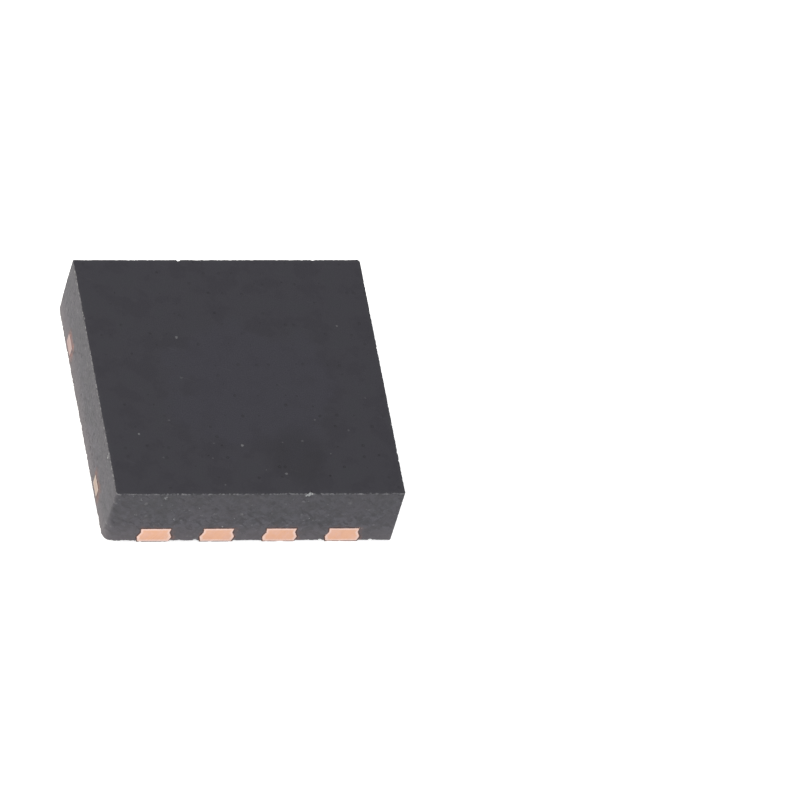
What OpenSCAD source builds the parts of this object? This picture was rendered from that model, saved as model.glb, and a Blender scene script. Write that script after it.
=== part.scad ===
// A leadless moulded chip package, standing on its lands: eight etched copper leads in two rows, an exposed
// die pad with four tie bars, and the die and its bond wires sealed inside. Millimetres, +Z up through the
// moulded top. The origin is the middle of the package on its seating plane. The rows of leads run along X.
// Lead 1 is at -X, -Y, and the numbers go anticlockwise as seen from above.

/* [Package] */
// Length of each side of the square body
body_side = 3.00; // [2.9:0.05:3.3]
// Height of the moulded top above the seating plane
overall_h = 0.78; // [0.72:0.01:0.95]
// Radius of the four upright corners
corner_r = 0.04; // [0.02:0.01:0.14]
// Width of the worn edge round the top and the underside
edge_break = 0.012; // [0.004:0.002:0.03]

/* [Copper sheet] */
// Thickness of the sheet that the leads and the die pad are etched from
sheet_t = 0.20; // [0.15:0.01:0.22]
// Depth etched away from below, where the copper lies inside the moulding
half_etch = 0.07; // [0.05:0.01:0.09]
// How far the ridge left between the two etches stands out from a flank
ridge_out = 0.02; // [0.005:0.005:0.03]
// Height of that ridge above the sheet's underside
ridge_h = 0.07; // [0.05:0.01:0.1]
// How far the hollow that the upper etch leaves above the ridge stands back
hollow_back = 0.012; // [0.006:0.001:0.016]
// How far a flank's top edge stands back from its bottom edge
top_back = 0.005; // [0:0.001:0.006]
// Thickness of the tin on the copper that the underside shows
finish_t = 0.012; // [0.008:0.001:0.02]

/* [Leads] */
// Number of leads in each of the two rows
leads_per_row = 4; // [3:4]
// Distance between neighbouring leads
lead_pitch = 0.65; // [0.55:0.01:0.7]
// Width of a lead's land
land_w = 0.32; // [0.26:0.01:0.36]
// Length of a land, inwards from the side of the body
land_l = 0.335; // [0.28:0.005:0.36]
// Radius of a land's two inner corners
land_r = 0.11; // [0.04:0.01:0.12]
// How far a lead's half-etched tip runs on inwards past its land
tip_l = 0.10; // [0.05:0.01:0.12]
// How much narrower than its land a lead's tip is
tip_narrower = 0.04; // [0.03:0.01:0.06]

/* [Die pad] */
// Length of the exposed pad, along the rows
pad_l = 2.36; // [2.1:0.02:2.4]
// Width of the exposed pad, between the rows
pad_w = 1.55; // [1.4:0.01:1.6]
// Leg of the 45 degree chamfer at the pin-1 corner
pad_chamfer = 0.40; // [0.2:0.01:0.5]
// Radius of the pad's corners
pad_r = 0.045; // [0.02:0.005:0.1]
// How far the half-etched flange stands out round the exposed pad
flange = 0.11; // [0.05:0.01:0.12]
// Width of a tie bar
tie_w = 0.19; // [0.15:0.01:0.26]
// Distance of a tie bar's end from the package's middle line
tie_y = 0.90; // [0.86:0.01:0.93]

/* [Die] */
// Length of the silicon die, along the rows
die_l = 1.50; // [1.3:0.05:1.8]
// Width of the silicon die
die_w = 1.05; // [0.9:0.05:1.2]
// Thickness of the silicon die
die_t = 0.25; // [0.15:0.01:0.27]
// Thickness of the adhesive under the die
attach_t = 0.025; // [0.015:0.005:0.04]
// How far the adhesive's fillet spreads past the die
attach_out = 0.04; // [0.02:0.01:0.06]
// Distance between neighbouring bond pads
bond_pitch = 0.40; // [0.3:0.01:0.42]
// Side of a square bond pad
bond_pad = 0.07; // [0.065:0.005:0.09]
// Thickness of a bond pad
bond_pad_t = 0.003; // [0.002:0.001:0.005]
// Distance from the die's edge to the middle of a bond pad
bond_inset = 0.08; // [0.06:0.01:0.15]

/* [Bond wires] */
// Diameter of a wire
wire_d = 0.025; // [0.018:0.001:0.032]
// Diameter of the ball at a wire's start
ball_d = 0.06; // [0.05:0.005:0.065]
// Height of the pressed ball
ball_h = 0.014; // [0.01:0.002:0.02]
// Height of a loop's middle line above its bond pad
loop_h = 0.12; // [0.08:0.01:0.14]
// Radius of the bend at the top of a loop
loop_r = 0.045; // [0.03:0.005:0.06]
// Distance from a lead's inner tip to the middle of its stitch
stitch_inset = 0.11; // [0.08:0.01:0.15]
// Diameter of the pressed stitch
stitch_d = 0.06; // [0.04:0.005:0.08]
// Height of the pressed stitch
stitch_h = 0.008; // [0.005:0.001:0.012]

/* [Hidden] */
$fn = 48;

side = body_side / 2;
lead_count = 2 * leads_per_row;
copper_z = finish_t;
etch_z = copper_z + half_etch;
copper_top = copper_z + sheet_t;
die_z = copper_top + attach_t;
die_top = die_z + die_t;
bond_z = die_top + bond_pad_t;
// How far a cutter runs on past the face that it opens
past = 0.2;

// Leads 1 to 4 are the front row from left to right, and 5 to 8 the back row from right to left.
function is_front(n) = n <= leads_per_row;
function place_in_row(n) = is_front(n) ? n - 1 : lead_count - n;
function across(n, pitch) = (place_in_row(n) - (leads_per_row - 1) / 2) * pitch;

// Where the corners' centres of a rectangle lie, for rounding by r
function rectangle(l, w, r) = [
    [l / 2 - r, w / 2 - r], [r - l / 2, w / 2 - r], [r - l / 2, r - w / 2], [l / 2 - r, r - w / 2]
];

// The same with one corner cut at 45 degrees. Rounded by r, its faces lie where the sharp outline's do.
function chamfered_rectangle(l, w, r, cut) =
    let (run = cut - r * (2 - sqrt(2)))
    [
        [l / 2 - r, w / 2 - r], [r - l / 2, w / 2 - r],
        [r - l / 2, r - w / 2 + run], [r - l / 2 + run, r - w / 2],
        [l / 2 - r, r - w / 2]
    ];

// The flank of copper etched from both faces: [how far it stands out, its height], from the bottom up
full_flank = [
    [0, copper_z], [ridge_out, copper_z + ridge_h],
    [-hollow_back, copper_z + ridge_h + 0.55 * (sheet_t - ridge_h)], [-top_back, copper_top]
];
// The flank of copper that was etched from below first
thin_flank = [[0, etch_z], [ridge_out / 2, etch_z + (sheet_t - half_etch) / 3], [-top_back, copper_top]];

// A flat plate whose outline goes round the given centres at distance r, anticlockwise. Each flank and
// rounded corner has the section that edge gives.
module plate(centres, r, edge) {
    last = len(edge) - 1;
    section = concat([[0, edge[0][1]]], [for (e = edge) [r + e[0], e[1]]], [[0, edge[last][1]]]);
    translate([0, 0, edge[0][1]]) linear_extrude(edge[last][1] - edge[0][1]) polygon(centres);
    for (i = [0:len(centres) - 1]) {
        from = centres[i];
        run = centres[(i + 1) % len(centres)] - from;
        translate(from) rotate_extrude() polygon(section);
        translate(from) rotate(atan2(run[1], run[0])) rotate([90, 0, 90])
            linear_extrude(norm(run)) mirror([1, 0]) polygon(section);
    }
}

// Keeps what lies inside the sawn sides
module sawn() {
    intersection() {
        children();
        translate([-side, -side, -past]) cube([body_side, body_side, overall_h + 2 * past]);
    }
}

// Puts a child, drawn for the front row with its land's side at y = 0 running inwards, in lead n's place
module at_lead(n) {
    rotate(is_front(n) ? 0 : 180)
        translate([(is_front(n) ? 1 : -1) * across(n, lead_pitch), -side, 0]) children();
}

// The copper of a lead. It runs on outside the body by over, to be sawn off or to cut the moulding.
module lead_blank(over) {
    full_l = land_l + over;
    tip_full_l = full_l + tip_l;
    translate([0, full_l / 2 - over, 0]) plate(rectangle(land_w, full_l, land_r), land_r, full_flank);
    translate([0, tip_full_l / 2 - over, 0])
        plate(rectangle(land_w - tip_narrower, tip_full_l, land_r), land_r, thin_flank);
}

module lead(n) {
    color("#e0b096") sawn() at_lead(n) lead_blank(past + land_r);
}

module lead_finish(n) {
    full_l = land_l + past + land_r;
    color("#bcb7b5") sawn() at_lead(n) translate([0, full_l / 2 - past - land_r, 0])
        plate(rectangle(land_w, full_l, land_r), land_r, [[0, 0], [0, finish_t]]);
}

module pad_outline(edge) {
    plate(chamfered_rectangle(pad_l, pad_w, pad_r, pad_chamfer), pad_r, edge);
}

// One tie bar, from the flange's end at +X, +Y out past the sawn side
module tie_bar() {
    root_x = pad_l / 2;
    shoulder_x = root_x + flange;
    inner_y = tie_y - tie_w / 2;
    outer_y = tie_y + tie_w / 2;
    translate([0, 0, etch_z]) linear_extrude(copper_top - etch_z) polygon([
        [root_x, inner_y - flange], [shoulder_x + flange / 2, inner_y], [side + past, inner_y],
        [side + past, outer_y], [shoulder_x + flange / 2, outer_y], [root_x - flange / 2, pad_w / 2 + flange / 2]
    ]);
}

// The copper of the die pad: its exposed part, the half-etched flange round it, and four tie bars
module die_pad_blank() {
    flange_r = pad_r + flange / 2;
    pad_outline([[0, copper_z], [ridge_out, etch_z]]);
    plate(rectangle(pad_l + 2 * flange, pad_w + 2 * flange, flange_r), flange_r, thin_flank);
    for (x = [0, 1], y = [0, 1]) mirror([x, 0]) mirror([0, y]) tie_bar();
}

module die_pad() {
    color("#e0b096") sawn() die_pad_blank();
}

module pad_finish() {
    color("#bcb7b5") pad_outline([[0, 0], [0, finish_t]]);
}

module die_attach() {
    color("#b9b9b4") plate(rectangle(die_l, die_w, pad_r), pad_r, [[attach_out, copper_top], [0, die_z]]);
}

// Moves a child to the middle of bond pad n, on the die's top
module at_bond_pad(n) {
    translate([across(n, bond_pitch), (is_front(n) ? -1 : 1) * (die_w / 2 - bond_inset), die_top]) children();
}

module silicon_die() {
    color("#5d6670") {
        translate([-die_l / 2, -die_w / 2, die_z]) cube([die_l, die_w, die_t]);
        for (n = [1:lead_count]) at_bond_pad(n)
            translate([-bond_pad / 2, -bond_pad / 2, 0]) cube([bond_pad, bond_pad, bond_pad_t]);
    }
}

// A wire in its own upright plane: up from the ball at x = 0, over the bend, and straight down to the
// stitch, which lies reach away and drop lower than the bond pad
module wire_loop(reach, drop) {
    bend_z = loop_h - loop_r;
    fall = bend_z + drop;
    run = reach - loop_r;
    slope = atan(fall / run) + asin(loop_r / norm([run, fall]));
    straight = sqrt(run * run + fall * fall - loop_r * loop_r);
    cylinder(d = ball_d, h = ball_h);
    cylinder(d = wire_d, h = bend_z);
    translate([loop_r, 0, bend_z]) rotate([90, 0, 0]) rotate(90 - slope)
        rotate_extrude(angle = 90 + slope) translate([loop_r, 0]) circle(d = wire_d);
    intersection() {
        translate([loop_r, 0, bend_z]) rotate([0, 90 + slope, 0]) translate([-loop_r, 0, 0])
            cylinder(d = wire_d, h = straight + wire_d);
        translate([-reach, -reach, -drop]) cube([3 * reach, 2 * reach, 2 * (drop + loop_h)]);
    }
    translate([reach, 0, -drop]) cylinder(d = stitch_d, h = stitch_h);
}

module bond_wire(n) {
    row = is_front(n) ? -1 : 1;
    start = [across(n, bond_pitch), row * (die_w / 2 - bond_inset)];
    end = [across(n, lead_pitch), row * (side - land_l - tip_l + stitch_inset)];
    color("#c98d5f") translate([start[0], start[1], bond_z])
        rotate(atan2(end[1] - start[1], end[0] - start[0]))
            wire_loop(norm(end - start), bond_z - copper_top);
}

// The moulding fills the block round everything that it holds
module mould_body() {
    low = finish_t;
    color("#444348") difference() {
        plate(rectangle(body_side, body_side, corner_r), corner_r,
            [[-edge_break, low], [0, low + edge_break], [0, overall_h - edge_break], [-edge_break, overall_h]]);
        for (n = [1:lead_count]) {
            at_lead(n) lead_blank(past + land_r);
            bond_wire(n);
        }
        die_pad_blank();
        die_attach();
        silicon_die();
    }
}

mould_body();
die_pad();
pad_finish();
die_attach();
silicon_die();
for (n = [1:lead_count]) {
    lead(n);
    lead_finish(n);
    bond_wire(n);
}
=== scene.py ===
"""A leadless moulded chip package on its lands, dressed for a close photograph. Metres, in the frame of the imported
model. The pieces are modelled in millimetres, since shaping needs sizes near one, and set to size when done."""

import math

import bmesh
import bpy
from mathutils import Matrix, Vector


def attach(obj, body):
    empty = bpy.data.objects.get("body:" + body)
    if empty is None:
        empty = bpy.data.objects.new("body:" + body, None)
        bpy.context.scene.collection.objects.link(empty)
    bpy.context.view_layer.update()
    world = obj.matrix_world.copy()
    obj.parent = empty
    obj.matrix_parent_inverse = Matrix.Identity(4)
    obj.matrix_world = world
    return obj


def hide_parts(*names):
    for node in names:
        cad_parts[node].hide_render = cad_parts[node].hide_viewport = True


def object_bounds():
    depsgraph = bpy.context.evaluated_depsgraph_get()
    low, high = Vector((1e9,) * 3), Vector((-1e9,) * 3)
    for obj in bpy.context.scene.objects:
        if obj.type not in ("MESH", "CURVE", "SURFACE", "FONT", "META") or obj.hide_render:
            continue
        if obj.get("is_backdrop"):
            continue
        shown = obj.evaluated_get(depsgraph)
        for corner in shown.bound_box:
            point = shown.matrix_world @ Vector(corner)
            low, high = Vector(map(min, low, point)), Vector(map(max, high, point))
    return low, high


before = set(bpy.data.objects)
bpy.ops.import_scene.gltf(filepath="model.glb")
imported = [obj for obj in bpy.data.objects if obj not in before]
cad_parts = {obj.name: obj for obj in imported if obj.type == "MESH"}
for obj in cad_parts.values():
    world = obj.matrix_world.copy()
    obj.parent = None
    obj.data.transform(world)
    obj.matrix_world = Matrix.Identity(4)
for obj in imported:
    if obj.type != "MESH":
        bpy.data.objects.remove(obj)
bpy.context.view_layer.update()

# Leads: eight fingers of copper sheet, etched from both faces at once, which leaves a ridge along each flank. The
# saw cuts them off flush with the package's sides and smears a thin lip of copper over the moulding. One lead is
# modelled at the front row's middle line, and its copies go to the eight places.
half_side, near = 1.5, 1e-4
land_width, land_length, tip_length, end_radius = 0.32, 0.335, 0.10, 0.11
copper_bottom, ridge_height, hollow_height, copper_top = 0.012, 0.082, 0.1535, 0.212
ridge_half, hollow_half, top_half, tip_half = 0.179, 0.148, 0.155, 0.14
saw_face, side_of_moulding = 1.4982, 1.4970
strip_end, inner_end, lead_middle = -1.62, -half_side + land_length, 0.112
lead_columns = (-0.975, -0.325, 0.325, 0.975)


def start_block(name, low, high):
    """A block between two corners, in edit mode, ready to be shaped"""
    low, high = Vector(low), Vector(high)
    bpy.ops.object.select_all(action="DESELECT")
    bpy.ops.mesh.primitive_cube_add(size=1, location=(low + high) / 2, scale=high - low)
    bpy.ops.object.transform_apply(location=True, rotation=True, scale=True)
    piece = bpy.context.object
    piece.name = piece.data.name = name
    bpy.ops.object.mode_set(mode="EDIT")
    bpy.ops.mesh.select_mode(type="FACE")
    return piece


def shape_again(piece):
    """Opens a piece in edit mode with all of it selected"""
    bpy.ops.object.select_all(action="DESELECT")
    piece.select_set(True)
    bpy.context.view_layer.objects.active = piece
    bpy.ops.object.mode_set(mode="EDIT")
    bpy.ops.mesh.select_all(action="SELECT")


def pick(kind, test):
    """Selects the faces, edges or points that pass the test: a face by its middle and normal, an edge by its two
    ends, a point by its place"""
    bpy.ops.mesh.select_mode(type={"faces": "FACE", "edges": "EDGE", "points": "VERT"}[kind])
    bpy.ops.mesh.select_all(action="DESELECT")
    mesh = bpy.context.edit_object.data
    shape = bmesh.from_edit_mesh(mesh)
    if kind == "faces":
        chosen = [f for f in shape.faces if test(f.calc_center_median(), f.normal)]
    elif kind == "edges":
        chosen = [e for e in shape.edges if test(e.verts[0].co, e.verts[1].co)]
    else:
        chosen = [v for v in shape.verts if test(v.co)]
    for part in chosen:
        part.select_set(True)
    shape.select_flush_mode()
    bmesh.update_edit_mesh(mesh)


def drop_from_selection(kind, test):
    """Takes points or faces that pass the test out of the selection"""
    mesh = bpy.context.edit_object.data
    shape = bmesh.from_edit_mesh(mesh)
    for part in (shape.verts if kind == "points" else shape.faces):
        if part.select and test(part):
            part.select_set(False)
    shape.select_flush_mode()
    bmesh.update_edit_mesh(mesh)


def mark(name, value):
    """Writes a value on the selected points, for the material to read"""
    mesh = bpy.context.edit_object.data
    shape = bmesh.from_edit_mesh(mesh)
    layer = shape.verts.layers.float.get(name) or shape.verts.layers.float.new(name)
    for point in shape.verts:
        if point.select:
            point[layer] = value
    bmesh.update_edit_mesh(mesh)


def duplicate(piece, name):
    """Another piece of the same shape, with a mesh of its own"""
    other = bpy.data.objects.new(name, piece.data.copy())
    other.data.name = name
    bpy.context.scene.collection.objects.link(other)
    return other


def to_lead_place(piece, lead_number):
    """Takes a piece from the front row's middle line to its lead's place, numbered round the package from the left"""
    shape_again(piece)
    if lead_number > 4:
        bpy.ops.transform.rotate(value=math.pi, orient_axis="Z", center_override=(0, 0, 0))
    column = lead_columns[lead_number - 1 if lead_number <= 4 else 8 - lead_number]
    bpy.ops.transform.translate(value=(column, 0, 0))
    bpy.ops.object.mode_set(mode="OBJECT")


def set_to_size(piece, smooth_below=35):
    """Takes a finished piece from millimetres to metres and shades it"""
    shape_again(piece)
    bpy.ops.transform.resize(value=(0.001, 0.001, 0.001), center_override=(0, 0, 0))
    bpy.ops.object.mode_set(mode="OBJECT")
    bpy.ops.object.shade_smooth_by_angle(angle=math.radians(smooth_below))
    piece.data.materials.clear()


def saw_and_dress(out, middles, seed, lip=0.014):
    """In edit mode: saws a piece off on the side that faces out, and leaves a thin uneven lip of smeared copper round
    each of the ends with the given middles, a pale raised burr along its rim and a core a little lower"""
    out = Vector(out)
    flat = [0 if abs(c) > 0.5 else 1 for c in out]
    lip_depth, lip_bottom, burr_width, burr_height, core_step = 0.0016, 0.002, 0.004, 0.0012, 0.0008
    root = saw_face - lip_depth

    def at_end(at, n):
        return at.dot(out) > saw_face - near and n.dot(out) > 0.9

    def in_core(at, n):
        return (at - Vector(middle)).length < 0.045 and n.dot(out) > 0.9

    bpy.ops.mesh.select_all(action="SELECT")
    bpy.ops.mesh.bisect(plane_co=out * saw_face, plane_no=out, clear_outer=True, use_fill=True)
    bpy.ops.mesh.select_all(action="SELECT")
    bpy.ops.mesh.bisect(plane_co=out * root, plane_no=out)
    for shortest, cuts in ((0.2, 23), (0.09, 9), (0.04, 5)):
        pick("edges", lambda a, b: abs((a - b).dot(out)) < near and a.dot(out) > root - near
             and (a - b).length > shortest)
        bpy.ops.mesh.subdivide(number_cuts=cuts)
    pick("faces", at_end)
    bpy.ops.mesh.dissolve_faces()
    pick("points", lambda p: abs(p.dot(out) - saw_face) < near)
    bpy.ops.transform.vertex_random(offset=0.0022, seed=seed)
    bpy.ops.transform.resize(value=flat, center_override=out * saw_face)
    pick("faces", lambda at, n: root + near < at.dot(out) < saw_face - near and abs(n.dot(out)) < 0.8)
    bpy.ops.mesh.extrude_region_shrink_fatten(TRANSFORM_OT_shrink_fatten={"value": lip})
    mark("smear", 1.0)
    bpy.ops.mesh.select_mode(type="VERT")
    drop_from_selection("points", lambda point: point.co.dot(out) < saw_face - lip_depth / 2)
    bpy.ops.transform.vertex_random(offset=lip * 0.45, seed=seed + 40)
    bpy.ops.transform.resize(value=flat, center_override=out * saw_face)
    pick("points", lambda p: p.z < lip_bottom)
    bpy.ops.transform.resize(value=(1, 1, 0), center_override=(0, 0, lip_bottom))
    pick("faces", at_end)
    drop_from_selection("faces", lambda face: len(face.verts) < 12)
    mark("smear", 0.55)
    bpy.ops.mesh.inset(thickness=burr_width, depth=burr_height)
    mark("smear", 0.36)
    for middle in middles:
        for wide, high, tone in ((0.94, 0.90, 0.28), (0.92, 0.87, 0.15), (0.92, 0.86, 0.0)):
            pick("faces", in_core)
            bpy.ops.mesh.extrude_region_move(TRANSFORM_OT_translate={"value": out * -core_step})
            bpy.ops.transform.resize(value=(wide, wide, high), center_override=middle)
            pick("faces", in_core)
            mark("smear", tone)
            bpy.ops.mesh.select_all(action="DESELECT")


lead_blank = start_block("lead_blank", (-land_width / 2, strip_end, copper_bottom),
                         (land_width / 2, inner_end, copper_top))
for height in (ridge_height, hollow_height):
    bpy.ops.mesh.select_all(action="SELECT")
    bpy.ops.mesh.bisect(plane_co=(0, 0, height), plane_no=(0, 0, 1))
pick("faces", lambda at, n: n.y > 0.9 and at.z > ridge_height)
bpy.ops.mesh.extrude_region_move(TRANSFORM_OT_translate={"value": (0, tip_length, 0)})
pick("edges", lambda a, b: abs(a.z - b.z) > 0.03 and min(a.y, b.y) > inner_end - near
     and (a.y > inner_end + tip_length / 2 or max(a.z, b.z) < ridge_height + near))
bpy.ops.mesh.bevel(offset=end_radius, segments=8)
for height, half in ((ridge_height, ridge_half), (hollow_height, hollow_half), (copper_top, top_half)):
    pick("points", lambda p: abs(p.z - height) < near)
    bpy.ops.transform.resize(value=(2 * half / land_width, 1, 1), center_override=(0, -1.2, height))
pick("points", lambda p: p.y > inner_end + near)
bpy.ops.transform.resize(value=(2 * tip_half / land_width, 1, 1), center_override=(0, -1.1, copper_top))
bpy.ops.object.mode_set(mode="OBJECT")

lead_shapes = {}
for lead_number in range(1, 9):
    lead = duplicate(lead_blank, f"copper_lead_{lead_number}")
    shape_again(lead)
    saw_and_dress((0, -1, 0), [(0, -saw_face, lead_middle)], seed=lead_number * 7)
    bpy.ops.object.mode_set(mode="OBJECT")
    to_lead_place(lead, lead_number)
    lead_shapes[lead_number] = lead


def feed(tree, sockets, values):
    """Gives each socket its value, or links it to the socket that is given instead"""
    for name, value in values.items():
        if isinstance(value, bpy.types.NodeSocket):
            tree.links.new(value, sockets[name])
        else:
            sockets[name].default_value = value


def add_node(tree, kind, inputs=None, **settings):
    """Adds a node; each input is a value, or the socket that it is linked to"""
    node = tree.nodes.new("ShaderNode" + kind)
    for name, value in settings.items():
        setattr(node, name, value)
    feed(tree, node.inputs, inputs or {})
    return node


def new_material(name):
    """A material with an empty node tree, its Principled shader and its output"""
    material = bpy.data.materials.new(name)
    material.use_nodes = True
    tree = material.node_tree
    tree.nodes.clear()
    shader = tree.nodes.new("ShaderNodeBsdfPrincipled")
    add_node(tree, "OutputMaterial", {"Surface": shader.outputs["BSDF"]})
    return material, tree, shader


def add_relief(tree, shader, height, distance, strength):
    """Raises the surface by a height over a distance in metres"""
    bump = add_node(tree, "Bump", {"Height": height, "Distance": distance, "Strength": strength})
    feed(tree, shader.inputs, {"Normal": bump.outputs["Normal"]})


def maths(tree, operation, *values, clamp=False):
    """A Math node's result"""
    return add_node(tree, "Math", dict(enumerate(values)), operation=operation, use_clamp=clamp).outputs[0]


def in_turn(tree, operation, values):
    """A Math operation on the first two values, then on its result and the next value, and so on"""
    result, *others = values
    for value in others:
        result = maths(tree, operation, result, value)
    return result


def plus(tree, *values):
    """The sum of the values"""
    return in_turn(tree, "ADD", values)


def minus(tree, *values):
    """The first value less the others"""
    return in_turn(tree, "SUBTRACT", values)


def times(tree, *values):
    """The product of the values"""
    return in_turn(tree, "MULTIPLY", values)


def divide(tree, value, by):
    """The value divided by another"""
    return maths(tree, "DIVIDE", value, by)


def largest(tree, *values):
    """The largest of the values"""
    return in_turn(tree, "MAXIMUM", values)


def centred(tree, noise, amount):
    """Noise about 0.5 turned into noise about 0, of a given amount"""
    return times(tree, minus(tree, noise, 0.5), amount)


def ramp(tree, value, low, high, start=0.0, end=1.0):
    """Start below low, end above high, and a smooth change between them"""
    inputs = {"Value": value, "From Min": low, "From Max": high, "To Min": start, "To Max": end}
    return add_node(tree, "MapRange", inputs, interpolation_type="SMOOTHSTEP").outputs["Result"]


def blend_colours(tree, share, under, over):
    """Over laid on under by share. Each is a socket, or red, green and blue"""
    under, over = (c if isinstance(c, bpy.types.NodeSocket) else (*c, 1) for c in (under, over))
    return add_node(tree, "Mix", {0: share, 6: under, 7: over}, data_type="RGBA").outputs[2]


def lay_on(tree, tone, *layers):
    """Lays colours on a tone one after another, each by its share"""
    for share, colour in layers:
        tone = blend_colours(tree, share, tone, colour)
    return tone


def colour_steps(tree, value, steps):
    """A colour that changes along a value: (place, colour) from the lowest place up"""
    node = add_node(tree, "ValToRGB", {"Fac": value})
    elements = node.color_ramp.elements
    for element, (place, colour) in zip(elements, (steps[0], steps[-1])):
        element.position, element.color = place, (*colour, 1)
    for place, colour in steps[1:-1]:
        elements.new(place).color = (*colour, 1)
    return node.outputs["Color"]


def vector_maths(tree, operation, *values, scale=None):
    """A Vector Math node's result: a number for a distance, otherwise a vector"""
    inputs = dict(enumerate(values))
    if scale is not None:
        inputs["Scale"] = scale
    node = add_node(tree, "VectorMath", inputs, operation=operation)
    return node.outputs["Value" if operation == "DISTANCE" else "Vector"]


def millimetres(tree):
    """Object coordinates in millimetres"""
    return vector_maths(tree, "SCALE", add_node(tree, "TexCoord").outputs["Object"], scale=1000.0)


def axes(tree, vector=None):
    """The X, Y and Z of a vector, or else of the place in millimetres"""
    split = add_node(tree, "SeparateXYZ", {"Vector": vector or millimetres(tree)})
    return split.outputs["X"], split.outputs["Y"], split.outputs["Z"]


def painted(tree, name):
    """A value that was marked on the points"""
    return add_node(tree, "Attribute", attribute_name=name).outputs["Fac"]


def new_group(name, inputs, outputs):
    """A shader node group with named number sockets: its empty tree, what it is given and what it gives"""
    tree = bpy.data.node_groups.new(name, "ShaderNodeTree")
    for socket, value in inputs.items():
        tree.interface.new_socket(socket, in_out="INPUT", socket_type="NodeSocketFloat").default_value = value
    for socket in outputs:
        tree.interface.new_socket(socket, in_out="OUTPUT", socket_type="NodeSocketFloat")
    return tree, tree.nodes.new("NodeGroupInput").outputs, tree.nodes.new("NodeGroupOutput").inputs


def use_group(tree, group, **values):
    """Places a group in a tree with its own values, and returns what it gives"""
    return add_node(tree, "Group", {k.replace("_", " "): v for k, v in values.items()},
                    node_tree=group).outputs


# Grain: uneven speckle of a given size in millimetres, and flat-toned cells of that size
grain_group, given, result = new_group("grain", {"Size": 0.02, "Detail": 3.0, "Ragged": 0.3}, ("Speckle", "Cells"))
tree = grain_group
place = millimetres(tree)
fineness = divide(tree, 1.0, given["Size"])
noise = add_node(tree, "TexNoise", {
    "Vector": place, "Scale": fineness, "Roughness": 0.6, "Detail": given["Detail"]})
stray = vector_maths(tree, "SUBTRACT", noise.outputs["Color"], (0.5, 0.5, 0.5))
stray = vector_maths(tree, "SCALE", stray, scale=times(tree, given["Size"], given["Ragged"]))
cells = add_node(tree, "TexVoronoi", {"Vector": vector_maths(tree, "ADD", place, stray), "Scale": fineness})
cell_tone = add_node(tree, "SeparateColor", {"Color": cells.outputs["Color"]})
feed(tree, result, {"Speckle": noise.outputs["Fac"], "Cells": cell_tone.outputs["Red"]})


def speckle(tree, size, detail=3.0, **others):
    """The grain's speckle alone"""
    return use_group(tree, grain_group, Size=size, Detail=detail, **others)["Speckle"]


# Saw marks: long faint arcs across a sawn side. Lean is the angle from the level in degrees.
saw_group, given, result = new_group(
    "saw marks", {"Spacing": 0.02, "Lean": 60.0, "Blade Radius": 14.0, "Length": 0.28}, ("Marks",))
tree = saw_group
x, y, z = axes(tree)
along, lean = plus(tree, x, y), maths(tree, "RADIANS", given["Lean"])
sine, cosine = maths(tree, "SINE", lean), maths(tree, "COSINE", lean)
on_mark = plus(tree, times(tree, along, cosine), times(tree, z, sine))
off_mark = minus(tree, times(tree, along, sine), times(tree, z, cosine))
bow = divide(tree, times(tree, on_mark, on_mark), given["Blade Radius"])
track = add_node(tree, "CombineXYZ", {
    "X": divide(tree, plus(tree, off_mark, bow), given["Spacing"]), "Y": divide(tree, on_mark, given["Length"])})
noise = add_node(tree, "TexNoise", {
    "Vector": track.outputs[0], "Scale": 1.0, "Detail": 3.0, "Roughness": 0.65})
feed(tree, result, {"Marks": noise.outputs["Fac"]})


def cut_copper(name, core, pale, seam_and_shadow, streak, far_end=None):
    """Bare copper where the saw cut it: a core, a paler burr, and a lip that darkens to brown towards its outer edge,
    partly browned copper and partly a painted shadow line round each end.
    The ends on the far side may have another tone laid over them"""
    finish, tree, shader = new_material(name)
    smear = painted(tree, "smear")
    fine = speckle(tree, 0.014)
    broad = speckle(tree, 0.07)
    marks = use_group(tree, saw_group, Spacing=0.014, Lean=66.0, Blade_Radius=14.0)["Marks"]
    # The darkest browns, at the lip's outer edge, are partly a painted shadow line round each cut end
    tone = colour_steps(tree, plus(tree, smear, centred(tree, fine, 0.35)), [
        (0.0, core), (0.05, core), (0.28, pale), (0.42, pale), (0.54, seam_and_shadow), (0.64, (0.110, 0.068, 0.060)),
        (1.0, (0.080, 0.056, 0.056))])
    if far_end:
        x, y, z = axes(tree)
        tone = blend_colours(tree, ramp(tree, y, -0.3, 0.3, 0.0, 0.5), tone, far_end)
    streaks = plus(tree, times(tree, marks, 0.5), times(tree, broad, 0.5))
    core_only = times(tree, ramp(tree, streaks, 0.46, 0.58, 0.0, 0.6), ramp(tree, smear, 0.0, 0.5, 1.0, 0.0))
    feed(tree, shader.inputs, {
        "Base Color": blend_colours(tree, core_only, tone, streak), "Metallic": 1.0,
        "Roughness": ramp(tree, marks, 0.3, 0.7, 0.45, 0.62)})
    add_relief(tree, shader, plus(tree, marks, times(tree, fine, 0.6)), distance=2.5e-6, strength=0.8)
    return finish


sawn_lead = cut_copper("sawn_lead", core=(0.645, 0.390, 0.272), pale=(0.70, 0.540, 0.485), seam_and_shadow=(0.28, 0.14, 0.10),
                       streak=(0.655, 0.43, 0.355))
for lead_number, lead in lead_shapes.items():
    set_to_size(lead)
    lead.data.materials.append(sawn_lead)
    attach(lead, "root")
    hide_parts(f"lead_{lead_number}")

# Die pad: the same copper sheet, a paddle with a half-etched flange and four tie bars that held it in its strip.
# Only the four sawn ends of the tie bars show, in the two sides without leads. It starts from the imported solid.
tie_bar_place, tie_bar_half, tie_bar_middle = 0.90, 0.095, 0.147


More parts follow.
